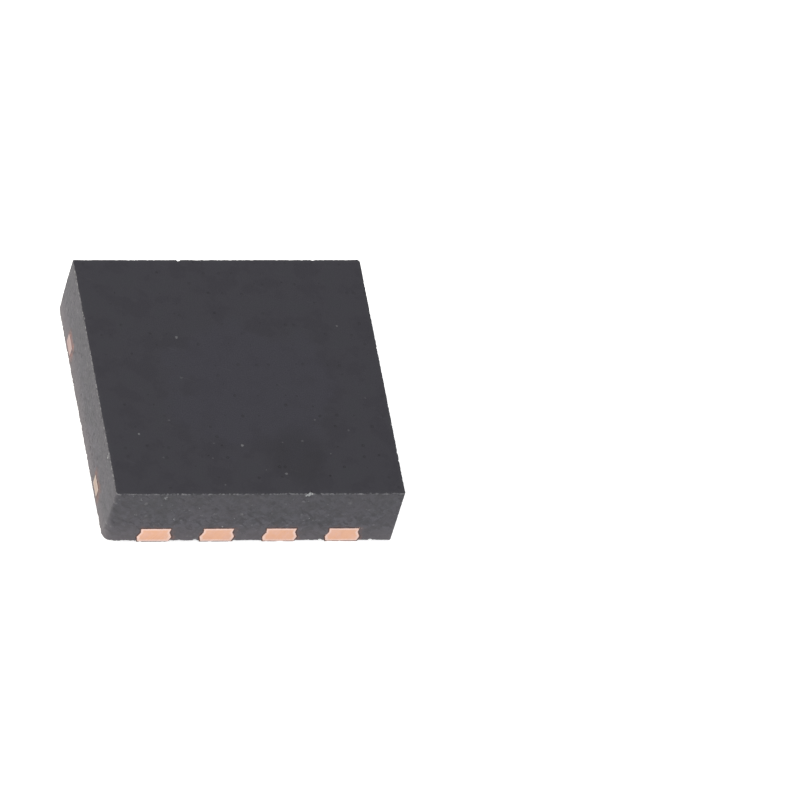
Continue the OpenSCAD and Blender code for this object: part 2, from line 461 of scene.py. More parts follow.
def unpack_solid(node, name):
    """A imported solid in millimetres, with the facets of each flat face joined"""
    piece = duplicate(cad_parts[node], name)
    shape_again(piece)
    bpy.ops.transform.resize(value=(1000, 1000, 1000), center_override=(0, 0, 0))
    bpy.ops.mesh.remove_doubles(threshold=near)
    bpy.ops.mesh.dissolve_limited(angle_limit=math.radians(1))
    bpy.ops.object.mode_set(mode="OBJECT")
    return piece


pad_blank = unpack_solid("die_pad", "pad_blank")
die_pad = duplicate(pad_blank, "copper_die_pad")
shape_again(die_pad)
for way in (1, -1):
    ends = [(way * saw_face, bar, tie_bar_middle) for bar in (-tie_bar_place, tie_bar_place)]
    saw_and_dress((way, 0, 0), ends, seed=90 + 5 * way, lip=0.006)
bpy.ops.object.mode_set(mode="OBJECT")
set_to_size(die_pad)
sawn_tie_bar = cut_copper("sawn_tie_bar", core=(0.365, 0.29, 0.245), pale=(0.40, 0.36, 0.32), seam_and_shadow=(0.24, 0.15, 0.12),
                          streak=(0.40, 0.29, 0.25), far_end=(0.31, 0.215, 0.245))
die_pad.data.materials.append(sawn_tie_bar)
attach(die_pad, "root")
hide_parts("die_pad")

# Adhesive: silver-filled epoxy, dispensed on the pad and squeezed out a little round the die, then cured.
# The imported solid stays, with a grey finish full of bright flakes.
silver_epoxy, tree, shader = new_material("silver_epoxy")
flakes = use_group(tree, grain_group, Size=0.006, Detail=2.0)["Cells"]
tone = colour_steps(tree, flakes, [(0.0, (0.42, 0.42, 0.4)), (0.7, (0.5, 0.5, 0.48)), (1.0, (0.8, 0.8, 0.78))])
feed(tree, shader.inputs, {
    "Base Color": tone, "Roughness": ramp(tree, flakes, 0.6, 0.9, 0.7, 0.35),
    "Metallic": ramp(tree, flakes, 0.7, 0.9, 0.0, 0.8)})


def refinish(node, finish):
    """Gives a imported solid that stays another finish"""
    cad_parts[node].data.materials.clear()
    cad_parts[node].data.materials.append(finish)


refinish("die_attach", silver_epoxy)

# Die: sawn silicon, its face polished and covered by wiring too fine to see, with eight square aluminium pads.
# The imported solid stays.
bare_face, pad_tops = 0.4872, 0.4885
polished_silicon, tree, shader = new_material("polished_silicon")
wiring = use_group(tree, grain_group, Size=0.09, Detail=1.0)
x, y, z = axes(tree)
on_pad = ramp(tree, z, bare_face, pad_tops)
tone = colour_steps(tree, wiring["Cells"], [
    (0.0, (0.10, 0.13, 0.16)), (0.5, (0.14, 0.17, 0.21)), (1.0, (0.19, 0.20, 0.26))])
feed(tree, shader.inputs, {
    "Base Color": blend_colours(tree, on_pad, tone, (0.82, 0.82, 0.84)), "Metallic": on_pad,
    "Roughness": ramp(tree, wiring["Speckle"], 0.3, 0.7, 0.18, 0.3)})
refinish("silicon_die", polished_silicon)

# Bond wires: drawn copper 25 micrometres thick, balled on the die's pads, looped over and stitched to the leads.
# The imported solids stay.
drawn_wire, tree, shader = new_material("drawn_wire")
drawn = speckle(tree, 0.01, 2.0)
tone = colour_steps(tree, drawn, [(0.3, (0.72, 0.38, 0.2)), (0.7, (0.86, 0.5, 0.28))])
feed(tree, shader.inputs, {"Base Color": tone, "Metallic": 1.0, "Roughness": ramp(tree, drawn, 0.3, 0.7, 0.22, 0.34)})
for lead_number in range(1, 9):
    refinish(f"bond_wire_{lead_number}", drawn_wire)

# Moulding: black epoxy full of silica grains, pressed round the lead frame in one slab and sawn apart on four
# sides. Its top and underside have the mould's fine matte skin; the sides are cut, lighter and mottled, and the
# cut's edges are worn and chipped. It is built as an outline, drawn up ring by ring, then hollowed by what it holds.
body_bottom, body_top, corner_radius, worn_radius, rows = 0.012, 0.78, 0.11, 0.011, 34
bpy.ops.object.select_all(action="DESELECT")
bpy.ops.mesh.primitive_plane_add(size=2 * side_of_moulding, location=(0, 0, body_bottom))
moulding = bpy.context.object
moulding.name = moulding.data.name = "moulding"
bpy.ops.object.transform_apply(location=True, rotation=True, scale=True)
bpy.ops.object.mode_set(mode="EDIT")
bpy.ops.mesh.bevel(offset=corner_radius, segments=12, affect="VERTICES")
bpy.ops.mesh.delete(type="ONLY_FACE")
for _ in range(2):
    pick("edges", lambda a, b: (a - b).length > 0.1)
    bpy.ops.mesh.subdivide(number_cuts=15)
bpy.ops.mesh.select_all(action="SELECT")
turn = [math.radians(90 * step / 4) for step in range(5)]
rings = [(body_bottom + worn_radius * (1 - math.cos(t)), worn_radius * (1 - math.sin(t))) for t in turn]
low, high = body_bottom + worn_radius, body_top - worn_radius
rings += [(low + (high - low) * row / rows, 0) for row in range(1, rows)]
rings += [(body_top - worn_radius * (1 - math.sin(t)), worn_radius * (1 - math.cos(t))) for t in turn]
now = side_of_moulding
for step, (height, stand_back) in enumerate(rings):
    if step:
        bpy.ops.mesh.extrude_edges_move(TRANSFORM_OT_translate={"value": (0, 0, height - rings[step - 1][0])})
    share = (side_of_moulding - stand_back) / now
    now = side_of_moulding - stand_back
    bpy.ops.transform.resize(value=(share, share, 1), center_override=(0, 0, height))
for end in (body_top, body_bottom):
    pick("edges", lambda a, b: abs(a.z - end) < 1e-5 and abs(b.z - end) < 1e-5)
    bpy.ops.mesh.edge_face_add()
    for reach in (0.004, 0.012, 0.03):
        bpy.ops.mesh.inset(thickness=reach)
bpy.ops.mesh.select_all(action="SELECT")
bpy.ops.mesh.normals_make_consistent(inside=False)
bpy.ops.object.mode_set(mode="OBJECT")

# The upright corners: sharper at the top than at the underside, where the saw's exit rounds them
corner_radii = {(-1, -1): (0.036, 0.105), (1, -1): (0.022, 0.024), (1, 1): (0.036, 0.080), (-1, 1): (0.020, 0.055)}
for point in moulding.data.vertices:
    facing = int(math.copysign(1, point.co.x)), int(math.copysign(1, point.co.y))
    tip = Vector((facing[0] * side_of_moulding, facing[1] * side_of_moulding, point.co.z))
    reach = tip - point.co
    if max(abs(reach.x), abs(reach.y)) < corner_radius + near:
        upper, lower = corner_radii[facing]
        share = min(1.0, max(0.0, (0.5 - point.co.z) / 0.45)) ** 1.5
        point.co = tip - reach * ((upper + (lower - upper) * share) / corner_radius)


def weigh_points(piece, name, weight):
    """A vertex group whose weight follows each point's place"""
    group = piece.vertex_groups.new(name=name)
    for point in piece.data.vertices:
        value = weight(point.co)
        if value > 0:
            group.add([point.index], value, "REPLACE")
    return group.name


def wear_away(piece, name, size, depth, share, group):
    """Takes material away in patches of a given size: share is how much of the surface is touched"""
    pattern = bpy.data.textures.new(name, "CLOUDS")
    pattern.noise_scale, pattern.noise_depth, pattern.use_color_ramp = size, 2, True
    tones = pattern.color_ramp.elements
    tones[0].position, tones[0].color = 1 - share, (0, 0, 0, 1)
    tones[1].position, tones[1].color = min(1.0, 1 - share + 0.18), (1, 1, 1, 1)
    change = piece.modifiers.new(name, "DISPLACE")
    change.texture, change.texture_coords, change.vertex_group = pattern, "LOCAL", group
    change.mid_level, change.strength = 0.0, -depth
    bpy.context.view_layer.objects.active = piece
    bpy.ops.object.modifier_apply(modifier=name)
    bpy.data.textures.remove(pattern)


def near_rim(p, rim_width=0.034):
    """1 on the worn edges round the top and the underside, fading to 0 at the rim's width from them"""
    inward = side_of_moulding - max(abs(p.x), abs(p.y))
    off = max(0.0, inward) + min(abs(body_top - p.z), abs(p.z - body_bottom))
    return max(0.0, 1 - off / rim_width)


rim = weigh_points(moulding, "rim", near_rim)
low_rim = weigh_points(moulding, "low_rim", lambda p: near_rim(p) if p.z < 0.1 else 0)
sides = weigh_points(moulding, "sides", lambda p: 1.0 if body_bottom + 0.005 < p.z < body_top - 0.005 else 0)
wear_away(moulding, "crumbled edge", size=0.022, depth=0.004, share=0.50, group=rim)
wear_away(moulding, "edge chips", size=0.05, depth=0.012, share=0.34, group=rim)
wear_away(moulding, "underside chips", size=0.045, depth=0.015, share=0.42, group=low_rim)
wear_away(moulding, "torn grains", size=0.035, depth=0.004, share=0.45, group=sides)

# Fresh chips knocked out of the cut: where, how far across, how deep, and how fresh, which is how bright they are
shape_again(moulding)
for chip, across, depth, fresh in (
        ((0.515, -1.497, 0.770), 0.044, 0.014, 1.0), ((0.482, -1.497, 0.752), 0.036, 0.007, 0.9),
        ((-0.97, -1.497, 0.702), 0.060, 0.008, 0.41), ((-1.30, -1.497, 0.745), 0.036, 0.006, 0.50),
        ((-0.112, -1.497, 0.264), 0.034, 0.003, 0.50), ((-0.290, -1.497, 0.244), 0.034, 0.003, 0.58),
        ((-0.816, -1.497, 0.363), 0.030, 0.003, 0.46), ((-1.224, -1.497, 0.686), 0.034, 0.003, 0.50),
        ((1.000, -1.497, 0.438), 0.030, 0.003, 0.35), ((0.589, -1.497, 0.380), 0.030, 0.003, 0.47),
        ((-0.206, -1.497, 0.371), 0.030, 0.003, 0.47), ((-0.610, -1.497, 0.553), 0.030, 0.003, 0.42),
        ((-0.674, -1.497, 0.355), 0.030, 0.003, 0.46), ((-1.236, -1.497, 0.438), 0.030, 0.003, 0.47),
        ((-0.535, -1.497, 0.016), 0.036, 0.014, 0.8), ((0.76, -1.497, 0.014), 0.040, 0.014, 0.8),
        ((1.28, -1.497, 0.016), 0.036, 0.012, 0.8), ((1.497, -1.28, 0.06), 0.040, 0.010, 0.5),
        ((1.497, 1.22, 0.05), 0.044, 0.012, 0.5), ((-1.497, -0.972, 0.722), 0.044, 0.008, 0.75),
        ((-0.40, 1.497, 0.77), 0.040, 0.012, 0.9), ((1.24, 1.497, 0.018), 0.046, 0.014, 0.8)):
    chip = Vector(chip)
    pick("points", lambda p: (p - chip).length < across * 0.55)
    mark("fresh", fresh)
    inwards = Vector([-c if abs(c) > 1.49 else 0 for c in chip]).normalized()
    bpy.ops.transform.translate(value=inwards * depth)
    bpy.ops.transform.vertex_random(offset=depth * 0.35, seed=int(across * 1000))
bpy.ops.object.mode_set(mode="OBJECT")

# The pockets that hold the lead frame, the die and the wires, each a little larger than what it holds
clearance = 0.0016
pockets = bpy.data.collections.new("pockets")
bpy.context.scene.collection.children.link(pockets)
held = [pad_blank]
for lead_number in range(1, 9):
    held.append(duplicate(lead_blank, f"pocket_{lead_number}"))
    to_lead_place(held[-1], lead_number)
for node in ["die_attach", "silicon_die"] + [f"bond_wire_{n}" for n in range(1, 9)]:
    held.append(unpack_solid(node, f"pocket_{node}"))
for blank in held:
    shape_again(blank)
    bpy.ops.transform.shrink_fatten(value=clearance)
    bpy.ops.object.mode_set(mode="OBJECT")
    bpy.context.scene.collection.objects.unlink(blank)
    pockets.objects.link(blank)
hollow = moulding.modifiers.new("hollow", "BOOLEAN")
hollow.operation, hollow.operand_type, hollow.solver = "DIFFERENCE", "COLLECTION", "EXACT"
hollow.collection = pockets
bpy.ops.object.select_all(action="DESELECT")
bpy.context.view_layer.objects.active = moulding
bpy.ops.object.modifier_apply(modifier="hollow")
for blank in held + [lead_blank]:
    bpy.data.objects.remove(blank)
bpy.data.collections.remove(pockets)
moulding.vertex_groups.clear()


def hypotenuse(tree, a, b):
    """How far a point is from the middle, by its two distances"""
    return maths(tree, "SQRT", plus(tree, times(tree, a, a), times(tree, b, b)))


# Worn edge and painted edge highlight: strongest on the rim between the skin and the cut, broken up along it and
# rounded at the corners. Its pale dashes are partly wear and partly a painted highlight along the edge.
edge_group, given, result = new_group("worn edge", {"Width": 0.02, "Breaks": 0.05}, ("Wear And Highlight", "From Rim"))
tree, rounding = edge_group, 0.05
x, y, z = axes(tree)
across = [largest(tree, minus(tree, maths(tree, "ABSOLUTE", axis), side_of_moulding - rounding), 0.0)
          for axis in (x, y)]
inward = largest(tree, minus(tree, rounding, hypotenuse(tree, *across)), 0.0)
to_top = maths(tree, "ABSOLUTE", minus(tree, body_top, z))
to_bottom = maths(tree, "ABSOLUTE", minus(tree, z, body_bottom))
from_rim = plus(tree, inward, maths(tree, "MINIMUM", to_top, to_bottom))
noise = add_node(tree, "TexNoise", {
    "Vector": millimetres(tree), "Detail": 3.0, "Scale": divide(tree, 1.0, given["Breaks"])})
fade = maths(tree, "SUBTRACT", 1.0, divide(tree, from_rim, given["Width"]), clamp=True)
feed(tree, result, {"Wear And Highlight": times(tree, fade, ramp(tree, noise.outputs["Fac"], 0.42, 0.62)), "From Rim": from_rim})


def blend_numbers(tree, share, under, over):
    """Under where share is 0, over where it is 1"""
    return add_node(tree, "Mix", {0: share, 2: under, 3: over}).outputs[0]


# Copper smear: how far a point of a sawn side is from the copper that the saw dragged along the side, and whether
# that is a tie bar's. A tie bar's smear is also lifted.
smear_group, given, result = new_group("copper smear", {
    "Copper Top": copper_top, "Lead Drag": 0.014, "Bar Drag": 0.028, "Bar Lift": 0.030}, ("From Copper", "By Tie Bar"))
tree, half_pitch = smear_group, lead_columns[2]
x, y, z = axes(tree)
by_tie_bar = maths(tree, "GREATER_THAN", maths(tree, "ABSOLUTE", x), maths(tree, "ABSOLUTE", y))
along_leads = plus(tree, x, times(tree, maths(tree, "SIGN", y), given["Lead Drag"]))
along_bars = minus(tree, y, times(tree, maths(tree, "SIGN", x), given["Bar Drag"]))
lowered = minus(tree, z, times(tree, by_tie_bar, given["Bar Lift"]))
lead_off = minus(tree, half_pitch - land_width / 2, maths(tree, "PINGPONG", along_leads, half_pitch))
past_last = minus(tree, maths(tree, "ABSOLUTE", along_leads), lead_columns[-1] + land_width / 2)
bar_off = minus(tree, maths(tree, "ABSOLUTE", along_bars), tie_bar_place)
bar_off = minus(tree, maths(tree, "ABSOLUTE", bar_off), tie_bar_half)
sideways = largest(tree, blend_numbers(tree, by_tie_bar, largest(tree, lead_off, past_last), bar_off), 0.0)
above = largest(tree, minus(tree, lowered, given["Copper Top"]), 0.0)
below = largest(tree, times(tree, by_tie_bar, minus(tree, ridge_height, lowered)), 0.0)
feed(tree, result, {"From Copper": hypotenuse(tree, sideways, largest(tree, above, below)), "By Tie Bar": by_tie_bar})

# Scratches: short faint lines at one angle
scratch_group, given, result = new_group(
    "scratches", {"Angle": 20.0, "Width": 0.008, "Length": 0.3}, ("Scratches", "Lines"))
tree = scratch_group
turned = add_node(tree, "VectorRotate", {
    "Vector": millimetres(tree), "Angle": maths(tree, "RADIANS", given["Angle"])}, rotation_type="Z_AXIS")
x, y, z = axes(tree, turned.outputs[0])
stretched = add_node(tree, "CombineXYZ", {
    "X": divide(tree, x, given["Length"]), "Y": divide(tree, y, given["Width"]), "Z": given["Angle"]})
noise = add_node(tree, "TexNoise", {"Vector": stretched.outputs[0], "Scale": 0.5, "Detail": 1.0})
feed(tree, result, {"Scratches": ramp(tree, noise.outputs["Fac"], 0.68, 0.78), "Lines": noise.outputs["Fac"]})

# Specks: scattered points of uneven size. Spread is their distance apart, Share how many of the places have one,
# and Level is 1 on a level face and 0 on an upright one.
speck_group, given, result = new_group(
    "specks", {"Spread": 0.1, "Size": 0.01, "Share": 0.2, "Level": 0.0}, ("Specks",))
tree = speck_group
x, y, z = axes(tree)
flat_place = add_node(tree, "CombineXYZ", {
    "X": blend_numbers(tree, given["Level"], plus(tree, x, y), x), "Y": blend_numbers(tree, given["Level"], z, y)})
points = add_node(tree, "TexVoronoi", {
    "Vector": flat_place.outputs[0], "Scale": divide(tree, 1.0, given["Spread"])}, voronoi_dimensions="2D")
chance = add_node(tree, "SeparateColor", {"Color": points.outputs["Color"]})
reach = divide(tree, times(tree, points.outputs["Distance"], given["Spread"]), given["Size"])
reach = divide(tree, reach, ramp(tree, chance.outputs["Blue"], 0.0, 1.0, 0.6, 1.4))
there = maths(tree, "GREATER_THAN", given["Share"], chance.outputs["Green"])
feed(tree, result, {"Specks": times(tree, there, ramp(tree, reach, 0.4, 1.0, 1.0, 0.0))})

# The mould's skin: matte and clouded, with fine scuffs, pits and dust. Each dust mote has its place, its size and how
# much it shows. Painted light on it: a lighter band along the rim, and pale worn-edge dashes that are partly a painted
# highlight. The pits are painted darker as painted shade.
moulded_skin, tree, shader = new_material("moulded_skin")
skin = speckle(tree, 0.012)
clouding = speckle(tree, 0.55, 4.0)
drifts = speckle(tree, 0.26)
crumbs = speckle(tree, 0.025, 2.0)
worn = use_group(tree, edge_group, Width=0.012, Breaks=0.05)
motes = use_group(tree, speck_group, Spread=0.13, Size=0.010, Share=0.20, Level=1.0)["Specks"]
pits = use_group(tree, speck_group, Spread=0.13, Size=0.017, Share=0.25, Level=1.0)["Specks"]
scuffs = use_group(tree, scratch_group, Angle=24.0, Width=0.008, Length=0.16)["Scratches"]
wipes = use_group(tree, scratch_group, Angle=0.0, Width=0.035, Length=0.9)["Lines"]
place = millimetres(tree)
off_middle = vector_maths(tree, "DISTANCE", place, (0.06, -0.18, body_top))
off_middle = plus(tree, off_middle, centred(tree, clouding, 1.8))
off_scuff = vector_maths(tree, "DISTANCE", place, (0.43, -1.03, body_top))
off_scuff = plus(tree, off_scuff, centred(tree, clouding, 0.5))
uneven = centred(tree, crumbs, 0.03)
top_dust = (
    (-0.10, -0.88, 0.030, 0.60), (-1.15, -0.73, 0.028, 0.60), (-0.57, 0.50, 0.032, 0.50), (0.30, -1.24, 0.030, 0.45),
    (1.12, 0.64, 0.026, 0.42), (-0.81, -0.56, 0.026, 0.25), (0.70, -0.56, 0.028, 0.25), (-0.35, -1.38, 0.022, 0.26),
    (-0.39, -0.85, 0.022, 0.22), (0.53, -0.82, 0.026, 0.22), (0.80, -0.99, 0.020, 0.22), (1.03, -0.69, 0.022, 0.20),
    (0.10, -1.19, 0.020, 0.22), (-0.43, -1.04, 0.020, 0.18), (1.27, -0.28, 0.020, 0.20), (-0.60, -0.02, 0.030, 0.14),
    (0.32, -0.84, 0.020, 0.18), (-0.94, -1.03, 0.022, 0.14))
underside_dust = ((0.62, -1.18, 0.045, 0.50), (1.33, -1.16, 0.035, 0.35), (-1.47, 0.95, 0.050, 0.45))
dust = 0.0
for height, scattered in ((body_top, top_dust), (body_bottom, underside_dust)):
    for x, y, across, strength in scattered:
        off_mote = plus(tree, vector_maths(tree, "DISTANCE", place, (x, y, height)), uneven)
        dust = largest(tree, dust, ramp(tree, off_mote, across * 0.25, across * 0.6, strength, 0.0))
tone = colour_steps(tree, skin, [(0.36, (0.0298, 0.0293, 0.0384)), (0.64, (0.0388, 0.0380, 0.0484))])
drifting = ramp(tree, off_middle, 0.50, 0.98, 0.45, 1.0)
near_scuff = ramp(tree, off_scuff, 0.3, 1.2, 1.0, 0.5)
x, y, z = axes(tree)
underneath = ramp(tree, z, 0.1, 0.05)
tone = lay_on(
    tree, tone,
    (ramp(tree, off_middle, 0.62, 0.98, 0.0, 0.48), (0.0318, 0.0312, 0.0370)),
    (times(tree, ramp(tree, drifts, 0.48, 0.60, 0.0, 0.38), drifting), (0.0253, 0.0243, 0.0315)),
    (times(tree, ramp(tree, drifts, 0.46, 0.36, 0.0, 0.30), drifting), (0.0330, 0.0350, 0.0410)),
    (ramp(tree, off_scuff, 0.18, 0.44, 0.50, 0.0), (0.0228, 0.0224, 0.0272)),
    # Painted light: a lighter band along the rim, where the rounded edge catches the light
    (ramp(tree, worn["From Rim"], 0.0, 0.07, 0.16, 0.0), (0.06, 0.06, 0.066)),
    (times(tree, scuffs, 0.07), (0.12, 0.12, 0.13)),
    (times(tree, ramp(tree, wipes, 0.5, 0.75, 0.0, 0.35), underneath), (0.052, 0.052, 0.060)),
    # Pale dashes on the worn edge: partly wear and partly a painted edge highlight
    (times(tree, worn["Wear And Highlight"], 0.45), (0.14, 0.14, 0.15)),
    # Pits painted darker than the skin: painted shade in the pits
    (times(tree, pits, near_scuff, 0.7), (0.010, 0.010, 0.012)),
    (times(tree, motes, near_scuff, 0.12), (0.12, 0.12, 0.13)),
    (dust, (0.17, 0.17, 0.18)))
feed(tree, shader.inputs, {
    "Base Color": tone, "Specular IOR Level": 0.18, "Roughness": ramp(tree, skin, 0.3, 0.7, 0.74, 0.84)})
add_relief(tree, shader, minus(tree, skin, times(tree, pits, 0.5)), distance=3e-6, strength=0.6)

# The sawn sides: the compound's grains and torn places under the saw's arcs, pale at the rims, partly from wear and
# partly as a painted edge highlight, with brown copper dragged beside the leads and the tie bars. They are darker
# towards the top, and lighter towards the bottom as painted light bounced up from the floor.
sawn_compound, tree, shader = new_material("sawn_compound")
blotches = speckle(tree, 0.11, Ragged=1.2)
shards = use_group(tree, grain_group, Size=0.055, Detail=2.0, Ragged=1.2)
grains = speckle(tree, 0.026, Ragged=0.9)
dusting = speckle(tree, 0.012)
patches = speckle(tree, 0.34, 4.0)
marks = use_group(tree, saw_group, Spacing=0.020, Lean=62.0, Blade_Radius=14.0)["Marks"]
tears = use_group(tree, saw_group, Spacing=0.050, Lean=130.0, Blade_Radius=60.0, Length=0.16)["Marks"]
silica = use_group(tree, speck_group, Spread=0.085, Size=0.012, Share=0.15)["Specks"]
flints = use_group(tree, speck_group, Spread=0.20, Size=0.024, Share=0.30)["Specks"]
wear_and_highlight = use_group(tree, edge_group, Width=0.022, Breaks=0.028)["Wear And Highlight"]
near_copper = use_group(tree, smear_group, Copper_Top=copper_top)
x, y, height = axes(tree)
fresh = painted(tree, "fresh")
mottle = plus(tree, times(tree, shards["Cells"], 0.12), times(tree, grains, 0.15),
              times(tree, shards["Speckle"], 0.26), times(tree, blotches, 0.47))
wander = plus(tree, centred(tree, dusting, 0.05), centred(tree, shards["Speckle"], 0.16))
halo = plus(tree, near_copper["From Copper"], wander)
lead_smear = times(tree, ramp(tree, halo, 0.0, 0.044, 0.65, 0.0), ramp(tree, height, 0.06, 0.17, 1.0, 0.30),
                   minus(tree, 1.0, near_copper["By Tie Bar"]))
bar_smear = times(tree, ramp(tree, halo, -0.005, 0.090, 0.80, 0.0), ramp(tree, tears, 0.38, 0.60, 1.0, 0.45),
                  near_copper["By Tie Bar"])
bar_tone = blend_colours(tree, ramp(tree, y, -0.3, 0.3), (0.116, 0.052, 0.038), (0.165, 0.078, 0.064))
crumbled = minus(tree, plus(tree, grains, dusting), 1.0)
chipped = ramp(tree, plus(tree, fresh, times(tree, crumbled, 1.5)), 0.35, 0.80, 0.0, 0.75)
tone = colour_steps(tree, mottle, [
    (0.42, (0.0275, 0.0270, 0.0335)), (0.49, (0.0425, 0.0417, 0.0512)), (0.56, (0.0670, 0.0655, 0.0780))])
tone = lay_on(
    tree, tone,
    (ramp(tree, patches, 0.44, 0.60, 0.0, 0.35), (0.052, 0.047, 0.058)),
    (ramp(tree, patches, 0.50, 0.38, 0.0, 0.35), (0.035, 0.036, 0.042)),
    (ramp(tree, marks, 0.56, 0.74, 0.0, 0.10), (0.12, 0.12, 0.125)),
    (ramp(tree, tears, 0.55, 0.64, 0.0, 0.65), (0.022, 0.0215, 0.0265)),
    (ramp(tree, tears, 0.42, 0.30, 0.0, 0.30), (0.088, 0.087, 0.098)),
    (times(tree, silica, 0.28), (0.20, 0.20, 0.205)),
    (times(tree, flints, ramp(tree, dusting, 0.42, 0.60, 0.0, 0.42)), (0.22, 0.22, 0.225)),
    # Darker towards the top of each side. Lighter towards the bottom: painted light bounced up from the floor.
    (ramp(tree, height, 0.30, 0.62, 0.0, 0.32), (0.0255, 0.0250, 0.0305)),
    (ramp(tree, height, 0.34, 0.0, 0.0, 0.50), (0.116, 0.104, 0.114)),
    (lead_smear, (0.185, 0.099, 0.084)),
    (bar_smear, bar_tone),
    # Pale dashes on the worn rims: partly wear and partly a painted edge highlight
    (times(tree, wear_and_highlight, ramp(tree, shards["Speckle"], 0.35, 0.62, 0.30, 0.80)), (0.26, 0.26, 0.27)),
    (times(tree, chipped, ramp(tree, fresh, 0.02, 0.25)), (0.36, 0.37, 0.38)))
feed(tree, shader.inputs, {
    "Base Color": tone, "Specular IOR Level": 0.4, "Roughness": ramp(tree, mottle, 0.42, 0.57, 0.6, 0.75)})
add_relief(tree, shader, plus(tree, mottle, times(tree, marks, 0.15)), distance=8e-6, strength=0.6)

set_to_size(moulding, smooth_below=40)
for finish in (moulded_skin, sawn_compound):
    moulding.data.materials.append(finish)
for face in moulding.data.polygons:
    face.material_index = 0 if abs(face.normal.z) > 0.93 else 1
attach(moulding, "root")
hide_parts("mould_body")

# Tin: a matte layer 12 micrometres thick, plated on the copper that the underside shows before the saw cuts the
# leads, so their ends have none. Its rim is rounded and its face is grainy, scratched and stained.
behind_saw_face, straight_end = 0.0014, -1.48


def wear_rim(cuts, seed):
    """In edit mode: gives a piece of tin an uneven outline, apart from its sawn end, and a rounded rim"""
    pick("edges", lambda a, b: max(a.z, b.z) < 1e-5 and (a - b).length > 0.1)
    bpy.ops.mesh.subdivide(number_cuts=cuts)
    pick("points", lambda p: p.z < 1e-5 and p.y > straight_end)
    bpy.ops.transform.vertex_random(offset=0.003, seed=seed)
    bpy.ops.transform.resize(value=(1, 1, 0), center_override=(0, 0, 0))
    pick("faces", lambda at, n: n.z < -0.9)
    bpy.ops.mesh.bevel(offset=0.005, segments=3)
    bpy.ops.object.mode_set(mode="OBJECT")


land_tin = start_block("land_tin", (-land_width / 2, -saw_face + behind_saw_face, 0),
                       (land_width / 2, inner_end, copper_bottom))
pick("edges", lambda a, b: abs(a.z - b.z) > 0.01 and min(a.y, b.y) > -1.3)
bpy.ops.mesh.bevel(offset=end_radius, segments=10)
wear_rim(cuts=9, seed=5)


def tin_grain(tree):
    """The grey of plated tin, fine slanting crystals with a faint tint and painted glints, bright specks that stand
    for highlights, and its roughness and relief
    """
    crystals = speckle(tree, 0.034, 5.0)
    slanting = use_group(tree, scratch_group, Angle=-38.0, Width=0.020, Length=0.05)["Lines"]
    tint = speckle(tree, 0.30, 4.0)
    painted_glints = speckle(tree, 0.030, 2.0)
    grey = plus(tree, times(tree, crystals, 0.72), times(tree, slanting, 0.28))
    tone = colour_steps(tree, grey, [
        (0.36, (0.44, 0.415, 0.40)), (0.5, (0.535, 0.505, 0.49)), (0.66, (0.68, 0.655, 0.64))])
    tone = lay_on(
        tree, tone,
        (ramp(tree, tint, 0.46, 0.62, 0.0, 0.34), (0.58, 0.47, 0.455)),
        (ramp(tree, tint, 0.46, 0.34, 0.0, 0.30), (0.50, 0.52, 0.46)),
        # Painted glints: bright specks that stand for highlights on the crystals
        (ramp(tree, painted_glints, 0.60, 0.72, 0.0, 0.45), (0.86, 0.84, 0.82)))
    return tone, ramp(tree, grey, 0.36, 0.64, 0.66, 0.5), grey


def window(tree, value, low, high, soft):
    """1 between low and high, fading to 0 over soft on either side"""
    return times(tree, ramp(tree, value, low - soft, low), ramp(tree, value, high, high + soft, 1.0, 0.0))


# Land finish: streaked along the back row and scraped across the front one, as the test contacts leave them
land_finish, tree, shader = new_material("land_finish")
tone, roughness, relief = tin_grain(tree)
x, y, z = axes(tree)
drag_marks = use_group(tree, scratch_group, Angle=0.0, Width=0.050, Length=0.32)["Lines"]
scrapes = use_group(tree, scratch_group, Angle=90.0, Width=0.014, Length=0.10)["Lines"]
ruffle = speckle(tree, 0.06, 2.0)
tines = maths(tree, "PINGPONG", plus(tree, y, times(tree, ruffle, 0.022)), 0.034)
dragged = times(tree, ramp(tree, tines, 0.002, 0.024, 1.0, 0.0), ramp(tree, drag_marks, 0.28, 0.56),
                window(tree, y, 1.23, 1.47, 0.02))
scraped = times(tree, ramp(tree, scrapes, 0.42, 0.66),
                window(tree, plus(tree, y, times(tree, ruffle, 0.12)), -1.28, -1.18, 0.02))
worked = largest(tree, times(tree, dragged, 0.8), times(tree, scraped, 0.7))
tone = blend_colours(tree, worked, tone, (0.20, 0.18, 0.16))
feed(tree, shader.inputs, {"Base Color": tone, "Metallic": 1.0, "Roughness": roughness})
relief = minus(tree, relief, times(tree, plus(tree, dragged, scraped), 0.4))
add_relief(tree, shader, relief, distance=4e-6, strength=0.6)

for lead_number in range(1, 9):
    tin = duplicate(land_tin, f"land_tin_{lead_number}")
    to_lead_place(tin, lead_number)
    set_to_size(tin, smooth_below=50)
    tin.data.materials.append(land_finish)
    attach(tin, "root")
    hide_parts(f"lead_finish_{lead_number}")
bpy.data.objects.remove(land_tin)

# Pad: the same tin on the exposed paddle, with dark contact marks and the broken ring that a suction cup leaves, and a
# paler band along its edge that is a painted highlight on its rounded rim.
# It is one plate, with rounded corners and a chamfer beside lead 1.
pad_length, pad_width, pad_chamfer, pad_radius = 2.36, 1.55, 0.40, 0.045
pad_tin = start_block("pad_tin", (-pad_length / 2, -pad_width / 2, 0),
                      (pad_length / 2, pad_width / 2, copper_bottom))
pick("edges", lambda a, b: abs(a.z - b.z) > 0.01 and max(a.x, b.x) < 0 and max(a.y, b.y) < 0)
bpy.ops.mesh.bevel(offset=pad_chamfer, offset_type="OFFSET", segments=1)
pick("edges", lambda a, b: abs(a.z - b.z) > 0.01)
bpy.ops.mesh.bevel(offset=pad_radius, segments=6)
wear_rim(cuts=59, seed=11)
set_to_size(pad_tin, smooth_below=50)

